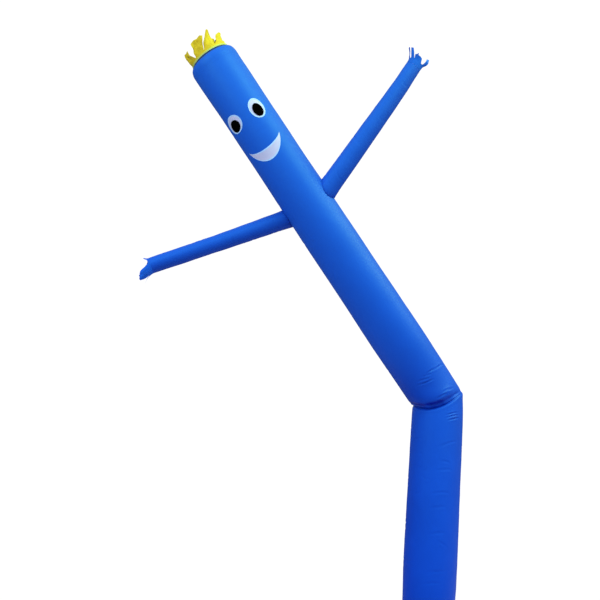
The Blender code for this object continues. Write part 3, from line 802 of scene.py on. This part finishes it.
def cut_fringe(name, axis, band, sides, radius, strips, crumple, seed):
    """A band whose upper edge is cut into strips, refined and crumpled by small moves of its points."""
    bm = bmesh.new()
    turns = [2.0 * math.pi * i / sides for i in range(sides)]
    ring = [*turns, turns[0]]
    sew_along([axis.point(0.006, a, radius(0.006) + 0.0004) for a in ring], [axis.across(a) for a in ring])
    low = [bm.verts.new(axis.point(0.0, a, radius(0.0))) for a in turns]
    high = [bm.verts.new(axis.point(band, a, radius(band))) for a in turns]
    for i in range(sides):
        j = (i + 1) % sides
        bm.faces.new((low[i], high[i], high[j], low[j]))
    for middle, width, *form in strips:
        first = round(middle / 360.0 * sides - width / 2.0)
        out = axis.across(2.0 * math.pi * (first + width / 2.0) / sides)
        edge = [high[(first + i) % sides] for i in range(width + 1)]
        for points in strip_rows([v.co for v in edge], axis.along, out, *form):
            row = [bm.verts.new(point) for point in points]
            for k in range(width):
                bm.faces.new((edge[k], row[k], row[k + 1], edge[k + 1]))
            edge = row
    obj = finish_mesh(bm, name)
    smooth = obj.modifiers.new("smooth", "SUBSURF")
    smooth.levels = smooth.render_levels = 3
    smooth.boundary_smooth = "PRESERVE_CORNERS"
    bpy.ops.object.modifier_apply(modifier="smooth")
    mesh = obj.data
    co = np.empty(len(mesh.vertices) * 3)
    mesh.vertices.foreach_get("co", co)
    co = co.reshape(-1, 3)
    normal = np.empty(len(mesh.vertices) * 3)
    mesh.vertices.foreach_get("normal", normal)
    normal = normal.reshape(-1, 3)
    along = np.array(axis.along)
    rise = (co - np.array(axis.start)) @ along
    flat = co - np.array(axis.start) - rise[:, None] * along
    turn = np.arctan2(flat @ np.array(axis.left), flat @ np.array(axis.front))
    free = np.clip((rise - band) / 0.05, 0.0, 1.0)
    round_edge = turn * FRINGE_RADIUS
    fine = rough(seed, 10, 60.0, 190.0)(round_edge, rise)
    slow = rough(seed + 1, 8, 22.0, 60.0)(round_edge, rise)
    co = co + normal * ((fine * 0.35 + slow * 0.8) * crumple * free)[:, None]
    for k in range(3):
        drift = rough(seed + 2 + k, 8, 40.0, 110.0)(round_edge, rise)
        co[:, k] += drift * crumple * 0.6 * free
    mesh.vertices.foreach_set("co", co.ravel())
    hem_layer = mesh.attributes.new("hem", "FLOAT", "POINT")
    hem_layer.data.foreach_set("value", np.clip((band * 0.8 - rise) / 0.004, 0.0, 1.0))
    uv = mesh.uv_layers.new(name="cloth")
    corner = np.empty(len(mesh.loops), dtype=int)
    mesh.loops.foreach_get("vertex_index", corner)
    uv.data.foreach_set("uv", np.stack([round_edge[corner], rise[corner]], axis=1).ravel())
    mesh.update()
    bpy.ops.object.shade_smooth()
    give_wall(obj, THIN_WALL)
    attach(obj, "root")
    return obj


def cap_height(radius):
    """Height of the cap over its seam at a radius."""
    heights, radii = zip(*reversed(CAP_SECTIONS))
    return float(np.interp(radius, radii, heights))


hair_foot = UPPER_LENGTH + SEAM_GAP + cap_height(HAIR_RADIUS - 0.0015) + SEAM_GAP
hair_axis = Axis(upper_axis.point(hair_foot, 0.0, 0.0), upper_axis.along, upper_axis.front)
hair = cut_fringe(
    "hair_ribbons", hair_axis, band=0.018, sides=48, radius=lambda height: HAIR_RADIUS,
    strips=HAIR_RIBBONS, crumple=0.0065, seed=31,
)
yellow_nylon = nylon(
    "yellow nylon cloth", dark=(0.68, 0.46, 0.020), light=(0.76, 0.524, 0.030), roughness=0.5,
    specular=0.10, tint=(1.0, 0.9, 0.4), mark=("hem", (0.60, 0.66, 0.12), 0.9),
)
hair.data.materials.append(yellow_nylon)
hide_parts("hair")


# ---------------------------------------------------------------- hands
# Each hand is a cuff sewn into the arm's open end and slit into strips that flutter in the air. Only
# the right one can be seen in the photograph, and the left one is made like it.

CUFF_RADIUS = 0.0712
RIGHT_STRIPS = (
    (-15.0, 4, 0.048, 6.0, 24.0, 24.0, 0.0, 1.00), (30.0, 2, 0.100, 20.0, 27.0, 0.0, 0.0, 0.60),
    (75.0, 2, 0.106, 33.0, 4.0, 0.0, 0.0, 0.60), (142.0, 1, 0.125, 0.0, 0.0, 0.0, 0.0, 0.60),
    (190.0, 2, 0.085, 0.0, -15.0, 0.0, 0.0, 0.70), (235.0, 2, 0.070, -30.0, -30.0, 0.0, 0.0, 0.60),
    (285.0, 2, 0.085, 45.0, 0.0, -76.0, -50.0, 0.60),
)
LEFT_STRIPS = (
    (30.0, 4, 0.110, 6.0, 20.0, 16.0, 0.0, 0.80), (75.0, 2, 0.120, 16.0, 10.0, -20.0, 20.0, 0.60),
    (112.0, 2, 0.105, 12.0, 0.0, 44.0, 0.0, 0.60), (150.0, 2, 0.120, 14.0, 0.0, -12.0, 0.0, 0.70),
    (190.0, 2, 0.130, 10.0, -20.0, 12.0, 0.0, 0.70), (225.0, 2, 0.080, -20.0, -45.0, 0.0, 0.0, 0.60),
    (315.0, 2, 0.028, 24.0, -26.0, 0.0, 0.0, 0.60),
)
for name, node, arm, end, band, strips, seed, area in (
    ("right_hand_strips", "hand_right", right_axis, 1.380, 0.050, RIGHT_STRIPS, 41, 0.045),
    ("left_hand_strips", "hand_left", left_axis, 1.312, 0.016, LEFT_STRIPS, 43, 0.037),
):
    cuff_axis = Axis(arm.point(end + SEAM_GAP, 0.0, 0.0), arm.along, arm.front)
    hand = cut_fringe(
        name, cuff_axis, band, sides=24, radius=lambda height: CUFF_RADIUS + 0.25 * min(height, 0.016),
        strips=strips, crumple=0.003, seed=seed,
    )
    hand.data.materials.append(blue_nylon)
    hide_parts(node)


# ---------------------------------------------------------------- face
# The eyes and the smile are flat pieces of white and black cloth with turned-in edges, sewn on to
# the front of the tube.

FACE_TURN = math.radians(23.4)
EYE_STATION, PUPIL_STATION = 3.091, 3.073
# Side, angle from the face's middle, half height and half width of the white and of the pupil.
EYES = (
    ("left", 33.4, 0.084, 0.089, 0.055, 0.058),
    ("right", -33.4, 0.095, 0.071, 0.063, 0.046),
)
MOUTH_STATION, MOUTH_SPREAD = 2.814, 47.5
MOUTH_UPPER_DIP, MOUTH_LOWER_DIP = 0.066, 0.175
PATCH_LIFT, PUPIL_LIFT = 0.0008, 0.0030
SEAM_SHARE = 0.88  # the stitches' place between a patch's middle and its rim

white_nylon = nylon(
    "white nylon cloth", dark=(0.50, 0.46, 0.70), light=(0.58, 0.54, 0.78), roughness=0.55,
    specular=0.4, tint=(0.9, 0.95, 1.0), mark=("hem", (0.42, 0.63, 0.96), 1.0),
)
black_nylon = nylon(
    "black nylon cloth", dark=(0.0008, 0.0006, 0.0008), light=(0.0018, 0.0014, 0.0016),
    roughness=0.6, specular=0.0, tint=(1.0, 0.9, 0.9),
)


def on_body(station, angle, lift):
    """A point over the tube's cloth at a distance along the upper half and an angle round it."""
    out = upper_axis.across(angle + front_turn)
    hit = body_tree.ray_cast(upper_axis.point(station, 0.0, 0.0) + out * 0.6, -out)[0]
    return hit + out * lift


def sew_patch(name, grid, seams, middle, cloth, node, slot, flat, area, under, lift, hem_from=0.86):
    """A patch from rows of (station, angle, height, share of the way to the rim). Its rim is turned
    in, and seams are rows of (station, angle) that the stitches follow."""
    bm = bmesh.new()
    uv = bm.loops.layers.uv.new("cloth")
    hem = bm.verts.layers.float.new("hem")
    places = {}
    made = []
    for row in grid:
        line = []
        for station, angle, height, share in row:
            vert = bm.verts.new(on_body(station, angle, lift + height))
            vert[hem] = min(max((share - hem_from) / 0.06, 0.0), 1.0)
            places[vert] = (angle * TUBE_RADIUS, station)
            line.append(vert)
        made.append(line)
    for low, high in zip(made, made[1:]):
        for i in range(len(low) - 1):
            bm.faces.new((low[i], low[i + 1], high[i + 1], high[i]))
    for face in bm.faces:
        for loop in face.loops:
            loop[uv].uv = places[loop.vert]
    for stitch_row in seams:
        sew_along(
            [on_body(station, angle, lift + 0.0005) for station, angle in stitch_row],
            [upper_axis.across(angle + front_turn) for station, angle in stitch_row],
            "black" if cloth == black_nylon else "white",
        )
    bmesh.ops.remove_doubles(bm, verts=bm.verts, dist=0.00004)
    bmesh.ops.recalc_face_normals(bm, faces=bm.faces)
    bm.faces.ensure_lookup_table()
    outward = upper_axis.across(middle + front_turn)
    if sum(face.normal.dot(outward) for face in bm.faces) < 0.0:
        bmesh.ops.reverse_faces(bm, faces=bm.faces)
    obj = finish_mesh(bm, name)
    bpy.ops.object.shade_smooth()
    give_wall(obj, THIN_WALL, offset=1.0)
    obj.data.materials.append(cloth)
    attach(obj, "root")
    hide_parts(node)


def rim_height(share):
    """A turned-in edge stands a little proud, and the stitch line inside it is pressed down."""
    turned_in = 0.0012 * math.exp(-(((share - 0.97) / 0.05) ** 2))
    return turned_in - 0.0004 * math.exp(-(((share - SEAM_SHARE) / 0.03) ** 2))


def oval_row(station, angle, half_height, half_width, share):
    """Points round an oval, at a share of the way from its middle to its rim."""
    return [
        (
            station + share * half_height * math.cos(t),
            angle + share * half_width * math.sin(t) / TUBE_RADIUS,
        )
        for t in (2.0 * math.pi * i / 72 for i in range(73))
    ]


def oval(*place_and_size):
    """The rows of an oval patch, and the one row of its seam."""
    grid = [
        [(*point, rim_height(share), share) for point in oval_row(*place_and_size, share)]
        for share in (0.0, 0.2, 0.4, 0.55, 0.68, 0.78, 0.85, SEAM_SHARE, 0.91, 0.94, 0.97, 1.0)
    ]
    return grid, [oval_row(*place_and_size, SEAM_SHARE)]


for side, spread, height, width, pupil_height, pupil_width in EYES:
    angle = FACE_TURN + math.radians(spread)
    sew_patch(
        f"eye_{side}_white", *oval(EYE_STATION, angle, height, width), middle=angle,
        cloth=white_nylon, node=f"eye_white_{side}", slot="white_nylon",
        flat=(2 * width, 2 * height), area=math.pi * width * height, under="body_tube",
        lift=PATCH_LIFT,
    )
    sew_patch(
        f"eye_{side}_black", *oval(PUPIL_STATION, angle, pupil_height, pupil_width), middle=angle,
        cloth=black_nylon, node=f"pupil_{side}", slot="black_nylon",
        flat=(2 * pupil_width, 2 * pupil_height), area=math.pi * pupil_width * pupil_height,
        under=f"eye_{side}_white", lift=PUPIL_LIFT,
    )

smile = []
for k in range(25):
    depth = k / 24.0
    row = []
    for i in range(97):
        share = math.sin(math.pi * (i / 96.0 - 0.5))
        arc_depth = max(1.0 - share * share, 0.0) ** 0.8
        top = MOUTH_STATION - MOUTH_UPPER_DIP * arc_depth
        thick = (MOUTH_LOWER_DIP - MOUTH_UPPER_DIP) * arc_depth
        edge = abs(2.0 * depth - 1.0)
        in_corner = not 2 < i < 94
        row.append((
            top - thick * depth,
            FACE_TURN + math.radians(MOUTH_SPREAD) * share,
            0.0008 if in_corner else rim_height(edge), 1.0 if in_corner else edge,
        ))
    smile.append(row)
smile_seams = [[cell[:2] for cell in smile[row][12:-12]] for row in (2, 22)]
sew_patch(
    "smile", smile, smile_seams, middle=FACE_TURN, cloth=white_nylon, node="mouth",
    slot="white_nylon", flat=(0.379, 0.175), area=0.0295, under="body_tube", lift=PATCH_LIFT,
    hem_from=0.76,
)


# ---------------------------------------------------------------- stitching
# Every seam, hem and patch is sewn with doubled thread of the cloth's own colour. Each stitch is a
# short plump length of it, which dips into the cloth at both ends.

STITCH_PITCH, STITCH_HALF = 0.0090, 0.0034
STITCH_WIDTH, STITCH_HEIGHT, STITCH_DIP = 0.0008, 0.0007, 0.0006


def lay_stitches(name, lines, cloth):
    """All stitches of one thread colour, evenly spaced along its remembered lines."""
    bm = bmesh.new()
    for points, outs in lines:
        steps = np.linalg.norm(np.diff(points, axis=0), axis=1)
        knots = np.concatenate(([0.0], np.cumsum(steps)))
        count = int(knots[-1] / STITCH_PITCH)
        middles = (np.arange(count) + 0.5) * knots[-1] / count

        def along_line(values, where):
            return np.stack([np.interp(where, knots, values[:, k]) for k in range(3)], axis=1)

        starts = along_line(points, middles - STITCH_HALF)
        ends = along_line(points, middles + STITCH_HALF)
        raised = along_line(outs, middles)
        for start, end, out in zip(starts, ends, raised):
            out = Vector(out).normalized()
            step = Vector(end) - Vector(start)
            side = step.cross(out).normalized()
            rings = []
            for place, size in ((0.2, 0.75), (0.5, 1.0), (0.8, 0.75)):
                middle = Vector(start).lerp(Vector(end), place) + out * 0.0004 * size
                wide, tall = side * STITCH_WIDTH, out * STITCH_HEIGHT
                rings.append([bm.verts.new(middle + turn * size) for turn in (wide, tall, -wide, -tall)])
            first = bm.verts.new(Vector(start) - out * STITCH_DIP)
            last = bm.verts.new(Vector(end) - out * STITCH_DIP)
            for k in range(4):
                j = (k + 1) % 4
                bm.faces.new((first, rings[0][k], rings[0][j]))
                bm.faces.new((rings[0][k], rings[1][k], rings[1][j], rings[0][j]))
                bm.faces.new((rings[1][k], rings[2][k], rings[2][j], rings[1][j]))
                bm.faces.new((rings[2][k], last, rings[2][j]))
    bmesh.ops.recalc_face_normals(bm, faces=bm.faces)
    obj = finish_mesh(bm, name)
    bpy.ops.object.shade_smooth()
    bpy.ops.object.select_all(action="DESELECT")
    obj.data.materials.append(cloth)
    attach(obj, "root")


lay_stitches("seam_threads", seam_lines["blue"], blue_nylon)
lay_stitches("face_threads", seam_lines["white"], white_nylon)
lay_stitches("pupil_threads", seam_lines["black"], black_nylon)
